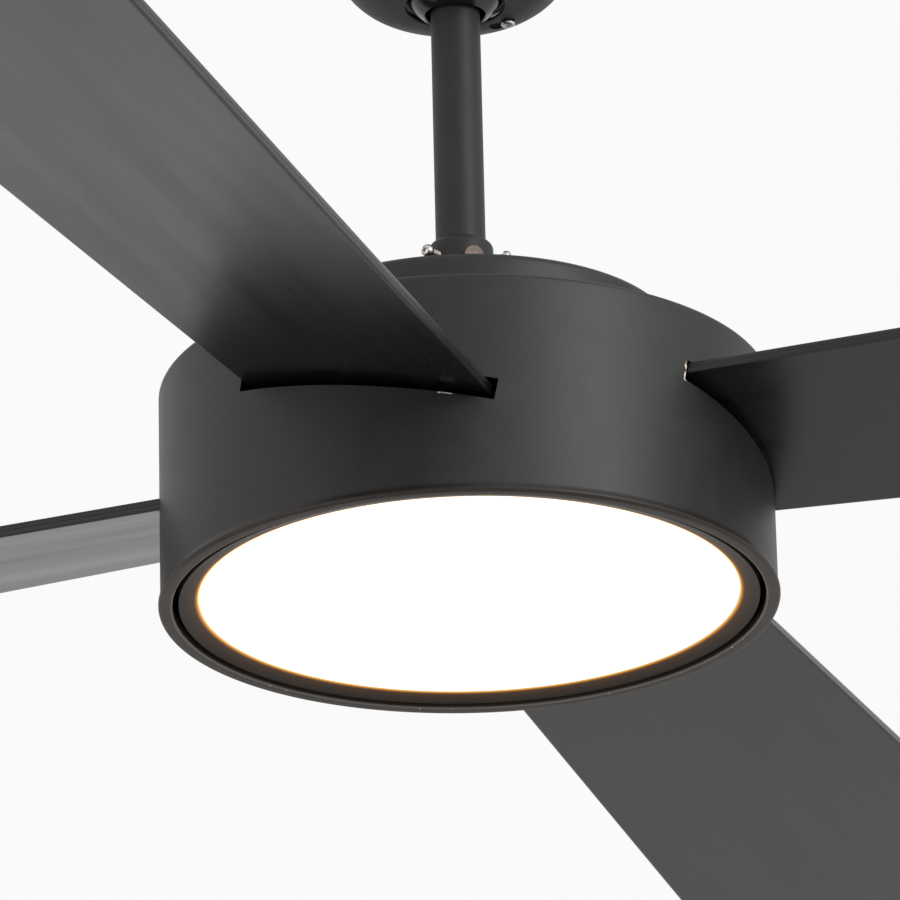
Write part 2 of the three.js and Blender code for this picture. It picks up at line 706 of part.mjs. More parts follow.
function lightPan() {
  const roof = PAN_TOP - COVER_SHEET;
  const body = turned(
    [
      [PAN_HOLE_RADIUS, roof],
      [PAN_RADIUS - COVER_SHEET, roof],
      [PAN_RADIUS - COVER_SHEET, PAN_WALL_BOTTOM],
      [PAN_RADIUS, PAN_WALL_BOTTOM],
      [PAN_RADIUS, PAN_TOP],
      [PAN_HOLE_RADIUS, PAN_TOP],
    ],
    FINE,
  );
  const inner = PAN_RADIUS - 4;
  const outer = PAN_RADIUS + 2;
  const slots = tabAzimuths().flatMap((at) => {
    const locked = at - BAYONET_TAB - 1;
    const free = at + BAYONET_TRAVEL + BAYONET_TAB + 1;
    return [
      sector(inner, outer, locked, free, 14.4, 17.6),
      sector(inner, outer, free - 2 * BAYONET_TAB - 2, free, 5, 17.6),
    ];
  });
  const holes = panScrewPlaces().map(([x, y]) => uprightBar(2.3, x, y, 10, 35, 8));
  return cut(body, [...slots, ...holes]);
}

function lightMountPlate() {
  const plate = ring(SHAFT_RADIUS + GAP, 38, PAN_TOP + GAP, PAN_TOP + 3, MEDIUM);
  return cut(plate, panScrewPlaces().map(([x, y]) => uprightBar(2.3, x, y, 10, 35, 8)));
}

function shaftNut() {
  const nut = new THREE.CylinderGeometry(14.5, 14.5, 8, 6).rotateX(Math.PI / 2).translate(0, 0, 20.4);
  return solid(nut).subtract(disc(SHAFT_RADIUS + GAP, 10, 30, COARSE));
}

const panScrew = ([x, y]) => uprightScrew(x, y, 4, 2, 2, PAN_TOP - COVER_SHEET - GAP, 6);

function ledBoard() {
  const board = ring(44, 126, 20.6, 22.2, MEDIUM);
  const circles = [[68, 8], [108, 12]];
  const chips = circles.flatMap(([radius, count]) =>
    Array.from({ length: count }, (_, i) => {
      const chip = new THREE.BoxGeometry(5, 5, 1.2).translate(radius, 0, 20.4);
      return solid(chip.rotateZ((2 * Math.PI * i) / count));
    }),
  );
  return join([board, ...chips]);
}

const ledDriver = () => block([48, -18, PAN_TOP + GAP], [128, 18, 46]);

// From the receiver's underside down the rod and the hollow shaft to the LED driver.
function rodLead() {
  const aside = PIN_AZIMUTH + 90;
  const [x, y] = polar(6.6, aside, 0);
  return wire(
    [
      [x, y, 391], [x, y, 370], [x, y, 350], [x, y, 300], [x, y, 250], [x, y, 200],
      [x * 0.8, y * 0.8, 183], [x * 0.2, y * 0.2, 172], [0, 0, 160], [0, 0, 120], [0, 0, 80],
      [0, 0, 52], [0.9, 0, 46], [4.6, 0, 42.8], [14, 0, 41.8], [30, 0, 40], [47.6, 0, 38],
    ],
    1.9,
    40,
  );
}

// ---- assembly --------------------------------------------------------------------------------
piece("ceiling_bracket", ceilingBracket(), ZINC);
piece("receiver_box", receiverBox(), WHITE_PLASTIC);
piece("terminal_block", terminalBlock(), WHITE_PLASTIC);
canopyScrewPlaces().forEach((place, i) => piece("canopy_screw_" + (i + 1), canopyScrew(place), STEEL));
piece("canopy", canopy(), BLACK_PAINT);

piece("seat_liner", seatLiner(), NYLON);
piece("hanger_ball", hangerBall(), BLACK_PLASTIC);
piece("ball_pin", ballPin(), STEEL);
piece("downrod", downrod(), BLACK_PAINT);
piece("yoke_coupling", yokeCoupling(), BLACK_PAINT);
piece("clevis_pin", clevisPin(), STEEL);
piece("hairpin_clip", hairpinClip(), STEEL);
COUPLING_SCREW_AZIMUTHS.forEach((azimuth, i) =>
  piece("coupling_screw_" + (i + 1), couplingScrew(azimuth), STEEL),
);
piece("rod_lead", rodLead(), WIRE);

piece("motor_shaft", motorShaft(), STEEL);
piece("stator_core", statorCore(), CAST_METAL);
piece("stator_winding", statorWinding(), COPPER);
piece("magnet_ring", magnetRing(), MAGNET);
piece("motor_lower_shell", motorLowerShell(), CAST_METAL);
piece("motor_upper_shell", motorUpperShell(), CAST_METAL);
Object.entries(BEARING_HEIGHTS).forEach(([name, low]) => addBearing(name, low));

piece("drum_shell", drumShell(), BLACK_PAINT);
piece("top_cover", topCover(), BLACK_PAINT);
drumScrewPlaces().forEach((place, i) => piece("drum_screw_" + (i + 1), drumScrew(place), STEEL));
bladeFrames.forEach((frame, i) => {
  const number = i + 1;
  piece("blade_" + number, blade(), BLADE_FILM, frame);
  piece("blade_bracket_" + number, bladeBracket(frame), ZINC, frame);
  BLADE_SCREWS.forEach((y, k) => piece("blade_screw_" + number + "ab"[k], bladeScrew(y), STEEL, frame));
});

piece("light_mount_plate", lightMountPlate(), ZINC);
piece("shaft_nut", shaftNut(), STEEL);
piece("light_pan", lightPan(), BLACK_PAINT);
panScrewPlaces().forEach((place, i) => piece("pan_screw_" + (i + 1), panScrew(place), STEEL));
piece("led_board", ledBoard(), BOARD);
piece("led_driver", ledDriver(), WHITE_PLASTIC);
piece("bezel_ring", bezelRing(), BLACK_PAINT);
piece("diffuser", diffuser(), OPAL);

export default part;
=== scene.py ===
import json
import math

import bmesh
import bpy
from mathutils import Matrix, Vector


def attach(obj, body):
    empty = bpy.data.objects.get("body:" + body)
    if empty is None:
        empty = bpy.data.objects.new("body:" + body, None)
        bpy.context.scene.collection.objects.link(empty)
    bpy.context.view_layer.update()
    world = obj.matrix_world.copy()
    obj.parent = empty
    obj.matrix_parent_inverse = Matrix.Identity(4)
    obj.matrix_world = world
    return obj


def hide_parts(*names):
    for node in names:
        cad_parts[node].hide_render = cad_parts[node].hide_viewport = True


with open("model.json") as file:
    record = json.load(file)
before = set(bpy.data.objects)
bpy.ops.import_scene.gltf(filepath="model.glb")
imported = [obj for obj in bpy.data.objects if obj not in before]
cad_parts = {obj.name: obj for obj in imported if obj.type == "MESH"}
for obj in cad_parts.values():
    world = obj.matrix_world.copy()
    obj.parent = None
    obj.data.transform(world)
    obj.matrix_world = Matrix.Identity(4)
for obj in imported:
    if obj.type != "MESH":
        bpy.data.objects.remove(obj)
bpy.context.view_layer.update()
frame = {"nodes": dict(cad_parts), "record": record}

# A four-blade ceiling fan with a round light. Lengths named here are millimetres, angles are
# degrees, and heights are above the lowest edge of the drum. The row frame is metres with its
# origin on the ceiling.
MM = 0.001
CEILING = 420.0  # height of the ceiling above the drum's lip
scene = bpy.context.scene

LIP_RADIUS = 160.0
DRUM_RADIUS = 158.9
DRUM_HEIGHT = 118.4
BLADE_COUNT = 4
FIRST_BLADE = -19.7
BLADE_PITCH = -12.0
BLADE_DROOP = 1.39
BLADE_AXIS_HEIGHT = 73.3
BLADE_ROOT = 98.0
BLADE_TIP = 710.0
BLADE_THICKNESS = 6.2
BLADE_HALF_WIDTH = 67.9
BLADE_FLARE = 0.0475  # what half the width gains for each millimetre outwards
BLADE_SHIFT = -0.7  # how far a plank sits off the middle of its slot
BLADE_TIP_ROUND = 36.0
BALL_HEIGHT = 359.5
BALL_RADIUS = 29.5
BALL_PIN_HEIGHT = BALL_HEIGHT + 2
PIN_AZIMUTH = -68.0
PIN_HEIGHT = 189.6
PIN_HOLE_RADIUS = 3.3
CLIP_REACH = 20.5  # how far off the axis the hairpin clip goes through the clevis pin
COUPLING_SCREW_HEIGHT = 192.5
COUPLING_SCREW_REACH = 23.6
COUPLING_SCREW_AZIMUTHS = (-135, -15)
CANOPY_SCREW_AZIMUTH = 37.0
CANOPY_SCREW_RADIUS = 35.0
CANOPY_TRAVEL = 13.0
FACETS = 256


# ---- camera ----------------------------------------------------------------------------------
def add_camera():
    data = bpy.data.cameras.new("camera")
    data.sensor_width = 36
    data.lens = 315.4
    data.clip_end = 60
    camera = bpy.data.objects.new("camera", data)
    scene.collection.objects.link(camera)
    place = Vector((0.0, -3.7845, -1.8738))
    aim = Vector((-0.00817, 0.0, -0.33294))
    look = (aim - place).to_track_quat("-Z", "Y").to_matrix().to_4x4()
    roll = Matrix.Rotation(math.radians(-1.3446), 4, "Z")
    camera.matrix_world = Matrix.Translation(place) @ look @ roll
    scene.camera = camera


# ---- mesh helpers ----------------------------------------------------------------------------
def point(x, y, h):
    return Vector((x * MM, y * MM, (h - CEILING) * MM))


def polar(radius, azimuth, h):
    a = math.radians(azimuth)
    return point(radius * math.cos(a), radius * math.sin(a), h)


def arc(r, h, radius, start, end, steps):
    """Points of a profile's round corner, centred on (r, h)."""
    angles = [math.radians(start + (end - start) * i / steps) for i in range(steps + 1)]
    return [(r + radius * math.cos(a), h + radius * math.sin(a)) for a in angles]


def add_mesh(name, vertices, faces, sharp=30):
    mesh = bpy.data.meshes.new(name)
    mesh.from_pydata([tuple(v) for v in vertices], [], faces)
    mesh.validate()
    obj = bpy.data.objects.new(name, mesh)
    scene.collection.objects.link(obj)
    smooth(obj, sharp)
    return obj


def smooth(obj, sharp=30):
    obj.data.shade_smooth()
    obj.data.set_sharp_from_angle(angle=math.radians(sharp))


def split_long(corners, step):
    """Adds points to a closed profile wherever two lie more than step apart."""
    fine = []
    for (r0, h0), (r1, h1) in zip(corners, corners[1:] + corners[:1]):
        parts = max(1, math.ceil(math.hypot(r1 - r0, h1 - h0) / step))
        fine += [(r0 + (r1 - r0) * i / parts, h0 + (h1 - h0) * i / parts) for i in range(parts)]
    return fine


def turned(name, corners, facets=FACETS, step=None, sharp=30):
    """A closed profile of (radius, height), counter-clockwise, turned about the fan's axis."""
    profile = split_long(corners, step) if step else corners
    vertices = []
    rows = []
    for r, h in profile:
        if r < 1e-6:
            rows.append([len(vertices)] * facets)
            vertices.append(point(0, 0, h))
            continue
        rows.append(list(range(len(vertices), len(vertices) + facets)))
        vertices += [polar(r, 360 * k / facets, h) for k in range(facets)]
    faces = []
    for low, high in zip(rows, rows[1:] + rows[:1]):
        for k in range(facets):
            n = (k + 1) % facets
            face = list(dict.fromkeys([low[k], low[n], high[n], high[k]]))
            if len(face) > 2:
                faces.append(face)
    return add_mesh(name, vertices, faces, sharp)


def place(obj, matrix):
    """Moves the mesh itself, so that every object stays at the row frame's origin."""
    obj.data.transform(matrix)
    return obj


def cut(obj, cutters, sharp=30):
    for cutter in cutters:
        modifier = obj.modifiers.new("cut", "BOOLEAN")
        modifier.operation = "DIFFERENCE"
        modifier.solver = "EXACT"
        modifier.object = cutter
    view = bpy.context.evaluated_depsgraph_get()
    made = bpy.data.meshes.new_from_object(obj.evaluated_get(view))
    obj.modifiers.clear()
    obj.data = made
    for cutter in cutters:
        bpy.data.objects.remove(cutter)
    smooth(obj, sharp)
    return obj


def bar(name, radius, length, facets=48, edge=0.0):
    """A round bar along +Z from the origin, in millimetres, with a small round at both ends."""
    profile = [(0, 0), *arc(radius - edge, edge, edge, -90, 0, 4)]
    profile += [*arc(radius - edge, length - edge, edge, 0, 90, 4), (0, length)]
    return turned(name, [(r, h + CEILING) for r, h in profile], facets)


def box(name, low, high):
    xs, ys, zs = zip(low, high)
    corners = [(x, y, z) for x in xs for y in ys for z in zs]
    faces = [(0, 1, 3, 2), (4, 6, 7, 5), (0, 4, 5, 1), (2, 3, 7, 6), (0, 2, 6, 4), (1, 5, 7, 3)]
    return add_mesh(name, [Vector(c) * MM for c in corners], faces)


def along(azimuth, start, h):
    """The frame whose +Z lies level and points outward at an azimuth, from start off the axis."""
    return (
        Matrix.Translation(point(0, 0, h))
        @ Matrix.Rotation(math.radians(azimuth), 4, "Z")
        @ Matrix.Translation((start * MM, 0, 0))
        @ Matrix.Rotation(math.radians(90), 4, "Y")
    )


def join(name, pieces, sharp=30):
    """One object of several closed meshes."""
    mesh = bmesh.new()
    for obj in pieces:
        mesh.from_mesh(obj.data)
    made = bpy.data.meshes.new(name)
    mesh.to_mesh(made)
    mesh.free()
    for obj in pieces:
        bpy.data.objects.remove(obj)
    joined = bpy.data.objects.new(name, made)
    scene.collection.objects.link(joined)
    smooth(joined, sharp)
    return joined


def finish_piece(obj, material, body, slot, *nodes):
    obj.data.materials.clear()
    obj.data.materials.append(material)
    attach(obj, body)
    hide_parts(*nodes)
    return obj


# ---- materials -------------------------------------------------------------------------------
def shader(name):
    material = bpy.data.materials.new(name)
    material.use_nodes = True
    return material, material.node_tree.nodes, material.node_tree.links


def add_noise(nodes, links, scale, detail, source="Object", stretch=(1, 1, 1)):
    coordinates = nodes.new("ShaderNodeTexCoord")
    mapping = nodes.new("ShaderNodeMapping")
    mapping.inputs["Scale"].default_value = stretch
    noise = nodes.new("ShaderNodeTexNoise")
    noise.inputs["Scale"].default_value = scale
    noise.inputs["Detail"].default_value = detail
    links.new(coordinates.outputs[source], mapping.inputs["Vector"])
    links.new(mapping.outputs["Vector"], noise.inputs["Vector"])
    return noise.outputs["Fac"]


def add_ramp(nodes, links, value, stops):
    ramp = nodes.new("ShaderNodeValToRGB")
    elements = ramp.color_ramp.elements
    while len(elements) < len(stops):
        elements.new(0.5)
    for element, (position, colour) in zip(elements, stops):
        element.position = position
        element.color = (*colour, 1)
    links.new(value, ramp.inputs["Fac"])
    return ramp.outputs["Color"]


def add_range(nodes, links, value, low, high):
    span = nodes.new("ShaderNodeMapRange")
    span.inputs["From Min"].default_value = 0.3
    span.inputs["From Max"].default_value = 0.7
    span.inputs["To Min"].default_value = low
    span.inputs["To Max"].default_value = high
    links.new(value, span.inputs["Value"])
    return span.outputs["Result"]


def add_bump(nodes, links, value, strength, distance):
    bump = nodes.new("ShaderNodeBump")
    bump.inputs["Strength"].default_value = strength
    bump.inputs["Distance"].default_value = distance * MM
    links.new(value, bump.inputs["Height"])
    return bump.outputs["Normal"]


def finish_of(
    name, dark, light, rough, grain, bump, metallic=0.0, specular=0.5, source="Object",
    stretch=(1, 1, 1),
):
    """A finish whose colour and roughness drift over the surface, with a fine grain in its relief.
    rough is (smoothest, roughest), grain the scale of the fine noise, bump its depth in mm."""
    material, nodes, links = shader(name)
    principled = nodes["Principled BSDF"]
    principled.inputs["Metallic"].default_value = metallic
    principled.inputs["Specular IOR Level"].default_value = specular
    broad = add_noise(nodes, links, grain / 14, 4, source, stretch)
    fine = add_noise(nodes, links, grain, 3, source, stretch)
    mixed = nodes.new("ShaderNodeMath")
    mixed.operation = "MULTIPLY_ADD"
    mixed.inputs[1].default_value = 0.5
    half = nodes.new("ShaderNodeMath")
    half.operation = "MULTIPLY"
    half.inputs[1].default_value = 0.5
    links.new(broad, half.inputs[0])
    links.new(fine, mixed.inputs[0])
    links.new(half.outputs[0], mixed.inputs[2])
    colour = add_ramp(nodes, links, mixed.outputs[0], [(0.36, dark), (0.64, light)])
    links.new(colour, principled.inputs["Base Color"])
    links.new(add_range(nodes, links, broad, *rough), principled.inputs["Roughness"])
    links.new(add_bump(nodes, links, fine, 1.0, bump), principled.inputs["Normal"])
    return material


def grey(value, warmth=1.0):
    return (value * warmth, value, value / warmth)


def drum_paint():
    """Matt black powder coat: bare metal where it has chipped, a painted warm glow of the light on
    the lip's foot, and a painted highlight line along the lip's inner edge."""
    material = finish_of(
        "drum_paint", grey(0.009, 1.02), grey(0.015, 1.02), (0.47, 0.51), 900, 0.035, specular=0.36
    )
    nodes = material.node_tree.nodes
    links = material.node_tree.links
    principled = nodes["Principled BSDF"]
    wear = nodes.new("ShaderNodeAttribute")
    wear.attribute_name = "wear"
    chips = add_noise(nodes, links, 420, 2)
    flaked = nodes.new("ShaderNodeMath")
    flaked.operation = "MULTIPLY"
    links.new(wear.outputs["Fac"], flaked.inputs[0])
    links.new(chips, flaked.inputs[1])
    mask = nodes.new("ShaderNodeMapRange")
    mask.inputs["From Min"].default_value = 0.3
    mask.inputs["From Max"].default_value = 0.36
    links.new(flaked.outputs[0], mask.inputs["Value"])
    mix = nodes.new("ShaderNodeMix")
    mix.data_type = "RGBA"
    painted = principled.inputs["Base Color"].links[0].from_socket
    # On the lip's foot the painted glow of the light turns the base colour darker and warmer; along
    # the lip's inner edge a lighter tone paints a highlight line.
    for attribute, tone in (("painted_glow", (0.004, 0.003, 0.002, 1)), ("painted_highlight", (0.09, 0.084, 0.076, 1))):
        marked = nodes.new("ShaderNodeAttribute")
        marked.attribute_name = attribute
        toned = nodes.new("ShaderNodeMix")
        toned.data_type = "RGBA"
        toned.inputs["B"].default_value = tone
        links.new(marked.outputs["Fac"], toned.inputs["Factor"])
        links.new(painted, toned.inputs["A"])
        painted = toned.outputs["Result"]
    links.new(mask.outputs["Result"], mix.inputs["Factor"])
    links.new(painted, mix.inputs["A"])
    mix.inputs["B"].default_value = (0.62, 0.51, 0.43, 1)
    links.new(mix.outputs["Result"], principled.inputs["Base Color"])
    # A faint warm emission on the lip's foot: the painted glow of the light.
    painted_glow = nodes.new("ShaderNodeAttribute")
    painted_glow.attribute_name = "painted_glow"
    warmth = [(0.0, (0, 0, 0)), (1.0, (0.008, 0.003, 0.0))]
    warm = add_ramp(nodes, links, painted_glow.outputs["Fac"], warmth)
    links.new(warm, principled.inputs["Emission Color"])
    principled.inputs["Emission Strength"].default_value = 1.0
    return material


def blade_board():
    """Stained board under satin lacquer, its grain faint along the blade."""
    return finish_of(
        "blade_board", (0.003, 0.0028, 0.0025), (0.0075, 0.0069, 0.0061), (0.24, 0.34), 260, 0.018,
        specular=0.39, source="UV", stretch=(0.18, 2.2, 1),
    )


def glowing(name, stops, strength, rough):
    """A surface that glows: its colour follows the distance from the axis, with stops in mm. The
    diffuser's glow is its own light; on the bezel the glow is painted.
    """
    material, nodes, links = shader(name)
    principled = nodes["Principled BSDF"]
    coordinates = nodes.new("ShaderNodeTexCoord")
    flat = nodes.new("ShaderNodeVectorMath")
    flat.operation = "MULTIPLY"
    flat.inputs[1].default_value = (1, 1, 0)
    length = nodes.new("ShaderNodeVectorMath")
    length.operation = "LENGTH"
    span = nodes.new("ShaderNodeMapRange")
    first, last = stops[0][0], stops[-1][0]
    span.inputs["From Min"].default_value = first * MM
    span.inputs["From Max"].default_value = last * MM
    links.new(coordinates.outputs["Object"], flat.inputs[0])
    links.new(flat.outputs["Vector"], length.inputs[0])
    links.new(length.outputs["Value"], span.inputs["Value"])
    ramp = [((r - first) / (last - first), colour) for r, colour in stops]
    colour = add_ramp(nodes, links, span.outputs["Result"], ramp)
    links.new(colour, principled.inputs["Emission Color"])
    principled.inputs["Emission Strength"].default_value = strength
    frost = add_noise(nodes, links, 1400, 3)
    tint = add_ramp(nodes, links, frost, [(0.3, (0.78, 0.77, 0.74)), (0.7, (0.84, 0.83, 0.8))])
    links.new(tint, principled.inputs["Base Color"])
    roughness = add_range(nodes, links, frost, rough - 0.05, rough + 0.05)
    links.new(roughness, principled.inputs["Roughness"])
    links.new(add_bump(nodes, links, frost, 1.0, 0.01), principled.inputs["Normal"])
    return material


def bezel_paint():
    """Satin black, with a painted warm glow where it meets the lit diffuser."""
    # The bezel's emission by radius: the lit diffuser's warm glow painted on, fading outwards.
    painted_glow = [
        (139.4, (1.0, 0.58, 0.22)),
        (139.9, (0.72, 0.33, 0.06)),
        (140.5, (0.42, 0.16, 0.01)),
        (141.0, (0.16, 0.062, 0.012)),
        (141.7, (0.045, 0.019, 0.006)),
        (145.0, (0.016, 0.008, 0.003)),
        (149.7, (0.002, 0.001, 0.0)),
    ]
    material = glowing("bezel_paint", painted_glow, 1.0, 0.5)
    nodes = material.node_tree.nodes
    links = material.node_tree.links
    principled = nodes["Principled BSDF"]
    grain = add_noise(nodes, links, 900, 3)
    tint = add_ramp(nodes, links, grain, [(0.35, grey(0.010, 1.25)), (0.65, grey(0.018, 1.25))])
    links.new(tint, principled.inputs["Base Color"])
    principled.inputs["Specular IOR Level"].default_value = 0.12
    return material


def make_materials():
    return {
        "drum_paint": drum_paint(),
        "rod_paint": finish_of(
            "rod_paint", grey(0.0085), grey(0.0145), (0.5, 0.58), 1100, 0.02, specular=0.32
        ),
        "canopy_paint": finish_of(
            "canopy_paint", grey(0.008, 1.1), grey(0.026, 1.1), (0.5, 0.65), 520, 0.06, specular=0.4
        ),
        "bezel_paint": bezel_paint(),
        "blade_board": blade_board(),
        "ball_plastic": finish_of(
            "ball_plastic", grey(0.006), grey(0.010), (0.12, 0.22), 300, 0.003
        ),
        "liner_nylon": finish_of(
            "liner_nylon", (0.5, 0.47, 0.4), (0.62, 0.59, 0.52), (0.5, 0.6), 500, 0.01
        ),
        "zinc_steel": finish_of(
            "zinc_steel", grey(0.36), grey(0.5, 1.01), (0.3, 0.45), 160, 0.004, 1.0
        ),
        "screw_steel": finish_of(
            "screw_steel", (0.30, 0.27, 0.25), (0.62, 0.57, 0.54), (0.2, 0.42), 900, 0.006, 1.0
        ),
        "pin_steel": finish_of(
            "pin_steel", (0.11, 0.085, 0.075), (0.24, 0.19, 0.17), (0.6, 0.75), 700, 0.03, 0.2,
            specular=0.1,
        ),
        "shaft_steel": finish_of(
            "shaft_steel", grey(0.38), grey(0.5), (0.2, 0.34), 500, 0.004, 1.0, stretch=(1, 1, 8)
        ),
        "cast_alloy": finish_of(
            "cast_alloy", grey(0.28), grey(0.4), (0.45, 0.62), 420, 0.04, 1.0
        ),
        "core_steel": finish_of(
            "core_steel", grey(0.16), grey(0.32), (0.35, 0.5), 500, 0.03, 1.0,
            stretch=(0.2, 0.2, 6),
        ),
        "copper_wire": finish_of(
            "copper_wire", (0.32, 0.1, 0.04), (0.6, 0.23, 0.1), (0.25, 0.4), 700, 0.06, 0.9,
            stretch=(1, 1, 5),
        ),
        "magnet": finish_of("magnet", grey(0.07), grey(0.12), (0.4, 0.55), 600, 0.01, 0.8),
        "white_plastic": finish_of(
            "white_plastic", grey(0.6, 1.02), grey(0.7, 1.02), (0.42, 0.55), 700, 0.01
        ),
        "lead_rubber": finish_of("lead_rubber", grey(0.012), grey(0.02), (0.5, 0.65), 700, 0.01),
        "board_white": finish_of("board_white", grey(0.68), grey(0.78), (0.4, 0.5), 400, 0.006),
        "opal_diffuser": glowing(
            "opal_diffuser",
            [(0.0, (1.0, 0.99, 0.975)), (138.3, (1.0, 0.985, 0.96)), (139.1, (0.9, 0.6, 0.24))],
            1.1, 0.5,
        ),
    }


# ---- drum ------------------------------------------------------------------------------------
def blade_matrix(index):
    azimuth = FIRST_BLADE + 360 / BLADE_COUNT * index
    return (
        Matrix.Translation(point(0, 0, BLADE_AXIS_HEIGHT))
        @ Matrix.Rotation(math.radians(azimuth), 4, "Z")
        @ Matrix.Rotation(math.radians(BLADE_DROOP), 4, "Y")
        @ Matrix.Rotation(math.radians(BLADE_PITCH), 4, "X")
    )


def half_width(reach):
    return BLADE_HALF_WIDTH + BLADE_FLARE * (reach - LIP_RADIUS)


SLOT_SIDE = 1.65  # what a slot's half width has over the blade's
SLOT_SHIFT = 0.4
SLOT_LOW = -7.1
SLOT_HIGH = 4.5
SLOT_PITCH = 0.8
SLOT_EDGE = 1.2  # how far below a slot's lower side its chip reaches
# For each slot: the chip's place and length along it, and how high it reaches.
CHIPS = ((-69.4, 3.4, 20.0), (12.0, 5.0, 1.2), (-20.0, 6.0, 1.2), (47.5, 11.0, 1.2))

# The lip's inner edge: radius, width and height of the paint rubbed thin, and of the painted
# highlight line along it.
RUBBED = (153.3, 0.7, 1.2)
RUBBED_WEAR = 0.48
PAINTED_HIGHLIGHT = (153.1, 0.45, 1.6)
PAINTED_GLOW_TOP = 4.5  # where the painted glow of the light on the lip fades out, and over what height it does
PAINTED_GLOW_FADE = 3.5


def slot_matrix(index):
    return blade_matrix(index) @ Matrix.Rotation(math.radians(SLOT_PITCH), 4, "X")


def slot_cutter(index):
    half = half_width(DRUM_RADIUS) + SLOT_SIDE
    low = (DRUM_RADIUS - 20, SLOT_SHIFT - half, SLOT_LOW)
    high = (DRUM_RADIUS + 20, SLOT_SHIFT + half, SLOT_HIGH)
    return place(box("cutter", low, high), slot_matrix(index))


def edge_band(r, h, band):
    """1 on a band round the lip's foot, falling off smoothly beside it, and 0 above it."""
    radius, width, height = band
    return math.exp(-(((r - radius) / width) ** 2)) if h < height else 0.0


def mark_wear(obj):
    """Writes three attributes: wear, 1 where a slot's edge has lost its paint and less along the
    inner edge of the lip; the painted glow of the light, 1 on the lip beside the light; and the
    painted highlight, 1 on that rubbed edge."""
    to_slot = [slot_matrix(i).inverted() for i in range(BLADE_COUNT)]
    wear = []
    painted_glow = []
    painted_highlight = []
    for vertex in obj.data.vertices:
        worn = 0.0
        for matrix, (middle, length, reach) in zip(to_slot, CHIPS):
            x, y, z = (matrix @ vertex.co) / MM
            along_edge = math.exp(-(((y - middle) / (0.5 * length)) ** 4))
            off_edge = math.exp(-abs(z - SLOT_LOW) / reach)
            if x > 0 and z > SLOT_LOW - SLOT_EDGE:
                worn = max(worn, along_edge * off_edge)
        r = math.hypot(vertex.co.x, vertex.co.y) / MM
        h = vertex.co.z / MM + CEILING
        wear.append(max(worn, RUBBED_WEAR * edge_band(r, h, RUBBED)))
        # A painted highlight line along the lip's inner edge, and the painted glow of the light on
        # the lip's foot.
        painted_highlight.append(edge_band(r, h, PAINTED_HIGHLIGHT))
        painted_glow.append(max(0.0, min(1.0, (PAINTED_GLOW_TOP - h) / PAINTED_GLOW_FADE)))
    for name, data in (("wear", wear), ("painted_glow", painted_glow), ("painted_highlight", painted_highlight)):
        obj.data.attributes.new(name, "FLOAT", "POINT").data.foreach_set("value", data)


def build_drum(materials):
    sheet = 1.2
    inside = DRUM_RADIUS - sheet
    edge = 2.6
    top = DRUM_HEIGHT
    profile = [
        (152.7, 5.2),
        *arc(154.3, 1.6, 1.6, 180, 270, 6),
        *arc(158.2, 1.8, 1.8, 270, 380, 8),
        (159.45, 3.4),
        (159.0, 4.3),
        (DRUM_RADIUS, 5.2),
        *arc(DRUM_RADIUS - edge, top - edge, edge, 0, 90, 8),
        (73.0, top),
        (73.0, top - sheet),
        *arc(inside - 1.5, top - sheet - 1.5, 1.5, 90, 0, 3),
        (inside, 7.6),
        (153.9, 7.6),
        (153.0, 6.8),
    ]
    drum = turned("drum", profile, step=2.0, sharp=40)
    cut(drum, [slot_cutter(i) for i in range(BLADE_COUNT)], 40)
    mark_wear(drum)
    finish_piece(drum, materials["drum_paint"], "rotor", "drum_paint", "drum_shell")


def build_cover(materials):
    edge = 4.0
    wall = 110.5
    top = 150.9
    low = DRUM_HEIGHT + 0.3
    profile = [
        (wall - 1.5, low),
        (wall, low),
        *arc(wall - edge, top - edge, edge, 0, 90, 8),
        *arc(22.8, top - 0.8, 0.8, 90, 180, 4),
        (22.0, top - 1.5),
        *arc(wall - edge, top - edge, edge - 1.5, 90, 0, 5),
    ]
    cover = turned("cover", profile, step=3, sharp=40)
    finish_piece(cover, materials["drum_paint"], "rotor", "drum_paint", "top_cover")


# ---- blades ----------------------------------------------------------------------------------
def blade_loop(inset, z):
    """The blade's outline drawn in by inset, at one height through its thickness."""
    before = BLADE_TIP - BLADE_TIP_ROUND
    radius = BLADE_TIP_ROUND - inset
    middle = half_width(before) - BLADE_TIP_ROUND
    steps = 12
    side = [(BLADE_ROOT + inset + (before - BLADE_ROOT - inset) * i / 40) for i in range(40)]
    lower = [(x, inset - half_width(x)) for x in side]
    corner_low = [(before + r, h - middle) for r, h in arc(0, 0, radius, -90, 0, steps)]
    corner_high = [(before + r, h + middle) for r, h in arc(0, 0, radius, 0, 90, steps)]
    upper = [(x, half_width(x) - inset) for x in reversed(side)]
    outline = lower + corner_low + corner_high + upper
    return [Vector((x, y + BLADE_SHIFT, z)) * MM for x, y in outline]


